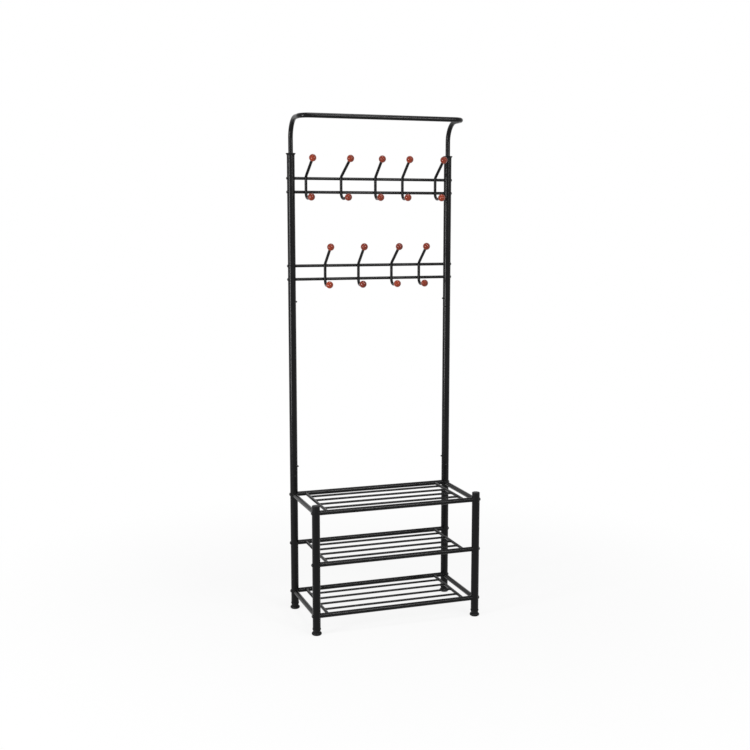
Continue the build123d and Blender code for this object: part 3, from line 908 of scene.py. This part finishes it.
class HALLTREE_OT_bend_springs(bpy.types.Operator):
    """Make the four leaf springs, which give way when their snap buttons are pushed in"""

    bl_idname = "hall_tree.bend_springs"
    bl_label = "Bend the Leaf Springs"

    def execute(self, context):
        sizes = context.scene.hall_tree_sizes
        for side in SIDES:
            for joint in ("lower", "upper"):
                low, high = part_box(f"{side}_{joint}_snap_button")
                form = self.take_leaf((low + high) / 2, sizes.spring_reach)
                self.divide_leaf(form, sizes.spring_step)
                name = f"{side}_{joint}_leaf_spring"
                piece = keep_piece(form, name, "tempered_spring_steel")
                piece.data.set_sharp_from_angle(angle=SPRING_CREASE)
                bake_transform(piece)
                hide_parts("button_springs")
        return {"FINISHED"}

    def take_leaf(self, middle, reach):
        """A merged copy of the one spring that lies within reach of a button's middle."""
        form = bmesh.new()
        form.from_mesh(frame["nodes"]["button_springs"].data)
        bmesh.ops.remove_doubles(form, verts=form.verts[:], dist=SEAM_GAP)
        others = [point for point in form.verts if (point.co - middle).length > reach]
        bmesh.ops.delete(form, geom=others, context="VERTS")
        return form

    def divide_leaf(self, form, step):
        """Cut across the strip at even heights."""
        heights = [point.co.z for point in form.verts]
        bottom, top = min(heights), max(heights)
        for cut in range(1, math.ceil((top - bottom) / step)):
            bmesh.ops.bisect_plane(
                form, geom=everything(form), dist=SAME_POINT,
                plane_co=(0.0, 0.0, bottom + cut * step), plane_no=UP,
            )


class HALLTREE_OT_set_stage(bpy.types.Operator):
    """Lay the pale floor, hang the soft lights and place the camera"""

    bl_idname = "hall_tree.set_stage"
    bl_label = "Set the Stage"

    def execute(self, context):
        stage = context.scene.hall_tree_stage
        self.lay_floor(stage)
        self.light_room(context.scene, stage)
        self.hang_lights(stage)
        self.place_camera(context.scene, stage)
        context.scene.view_settings.view_transform = "Standard"
        return {"FINISHED"}

    def seen(self, wire):
        """1 for what is looked at, straight, mirrored or through glass, and 0 for what lights."""
        camera, glossy, transmission = (
            wire.node("ShaderNodeLightPath", output=f"Is {kind} Ray")
            for kind in ("Camera", "Glossy", "Transmission")
        )
        return camera + glossy + transmission

    def lay_floor(self, stage):
        """A matt pale floor with its shadow near the feet, going over into plain white."""
        form = bmesh.new()
        bmesh.ops.create_grid(form, x_segments=8, y_segments=8, size=stage.floor_reach)
        mesh = pour_mesh(form, "pale_floor")
        show("pale_floor", mesh)
        material, wire, place = begin_finish("pale_floor")
        settings = {"operation": "LENGTH"}
        distance = wire.node("ShaderNodeVectorMath", settings, {0: place}, "Value")
        settings = {"interpolation_type": "SMOOTHSTEP"}
        limits = {
            "Value": distance, "From Min": stage.floor_near, "From Max": stage.floor_far,
            "To Min": 0.0, "To Max": 1.0,
        }
        away = wire.node("ShaderNodeMapRange", settings, limits, "Result")
        share = self.seen(wire) * (stage.floor_white + away * (1.0 - stage.floor_white))
        matt = wire.node("ShaderNodeBsdfDiffuse", None, {"Color": opaque(stage.floor_colour)})
        white = wire.node("ShaderNodeEmission", None, {"Color": WHITE, "Strength": 1.0})
        both = wire.node("ShaderNodeMixShader", None, {0: share, 1: matt, 2: white})
        show_surface(wire, both, "ShaderNodeOutputMaterial")
        mesh.materials.append(material)

    def light_room(self, scene, stage):
        """Plain white where the room is seen, and a softer even light on the object."""
        world = bpy.data.worlds.new("white_room")
        world.use_nodes = True
        world.node_tree.nodes.clear()
        wire = Wire(world.node_tree)
        soft, white = (
            wire.node("ShaderNodeBackground", None, {"Color": WHITE, "Strength": strength})
            for strength in (stage.room_light, 1.0)
        )
        both = wire.node("ShaderNodeMixShader", None, {0: self.seen(wire), 1: soft, 2: white})
        show_surface(wire, both, "ShaderNodeOutputWorld")
        scene.world = world

    def hang_lights(self, stage):
        """Soft boxes, each aimed at the middle of the hall tree."""
        aim = (cad_low + cad_high) / 2
        boxes = (
            ("key_box", stage.key_power, stage.key_size, stage.key_place),
            ("fill_box", stage.fill_power, stage.fill_size, stage.fill_place),
            ("top_box", stage.top_power, stage.top_size, stage.top_place),
        )
        for name, power, (width, height), place in boxes:
            light = bpy.data.lights.new(name, "AREA")
            light.shape = "RECTANGLE"
            light.size = width
            light.size_y = height
            light.energy = power
            lamp = show(name, light)
            lamp.location = place
            lamp.rotation_euler = (aim - Vector(place)).to_track_quat("-Z", "Y").to_euler()

    def place_camera(self, scene, stage):
        """The camera at the photograph's viewing angle, with no shift and nothing out of focus."""
        lens = bpy.data.cameras.new("front_camera")
        lens.sensor_width = SENSOR_WIDTH
        lens.lens = stage.camera_lens
        camera = show("front_camera", lens)
        camera.location = stage.camera_place
        camera.rotation_euler = (QUARTER_TURN - stage.camera_tilt, 0.0, -stage.camera_turn)
        scene.camera = camera


OPERATORS = (
    HALLTREE_OT_set_stage,
    HALLTREE_OT_coat_tubes,
    HALLTREE_OT_varnish_knobs,
    HALLTREE_OT_mould_plastics,
    HALLTREE_OT_blacken_fasteners,
    HALLTREE_OT_finish_inner_steel,
    HALLTREE_OT_weld_hooks,
    HALLTREE_OT_weld_shelves,
    HALLTREE_OT_weld_side_bars,
    HALLTREE_OT_thread_studs,
    HALLTREE_OT_bend_springs,
)


class HALLTREE_PT_looks(bpy.types.Panel):
    """The steps that dress the hall tree, in order"""

    bl_idname = "HALLTREE_PT_looks"
    bl_label = "Hall Tree"
    bl_space_type = "VIEW_3D"
    bl_region_type = "UI"
    bl_category = "Hall Tree"

    def draw(self, context):
        scene = context.scene
        for group in (scene.hall_tree_finishes, scene.hall_tree_sizes, scene.hall_tree_stage):
            box = self.layout.box()
            for name in group.__annotations__:
                box.prop(group, name)
        for operator in OPERATORS:
            self.layout.operator(operator.bl_idname)


CLASSES = (HallTreeFinishes, HallTreeSizes, HallTreeStage, *OPERATORS, HALLTREE_PT_looks)


def register():
    for kind in CLASSES:
        bpy.utils.register_class(kind)
    bpy.types.Scene.hall_tree_finishes = PointerProperty(type=HallTreeFinishes)
    bpy.types.Scene.hall_tree_sizes = PointerProperty(type=HallTreeSizes)
    bpy.types.Scene.hall_tree_stage = PointerProperty(type=HallTreeStage)


def unregister():
    del bpy.types.Scene.hall_tree_stage
    del bpy.types.Scene.hall_tree_sizes
    del bpy.types.Scene.hall_tree_finishes
    for kind in reversed(CLASSES):
        bpy.utils.unregister_class(kind)


def main():
    """Dress the hall tree."""
    register()
    bpy.ops.hall_tree.set_stage()
    bpy.ops.hall_tree.coat_tubes()
    bpy.ops.hall_tree.varnish_knobs()
    bpy.ops.hall_tree.mould_plastics()
    bpy.ops.hall_tree.blacken_fasteners()
    bpy.ops.hall_tree.finish_inner_steel()
    bpy.ops.hall_tree.weld_hooks()
    bpy.ops.hall_tree.weld_shelves()
    bpy.ops.hall_tree.weld_side_bars()
    bpy.ops.hall_tree.thread_studs()
    bpy.ops.hall_tree.bend_springs()


if __name__ == "__main__":
    main()
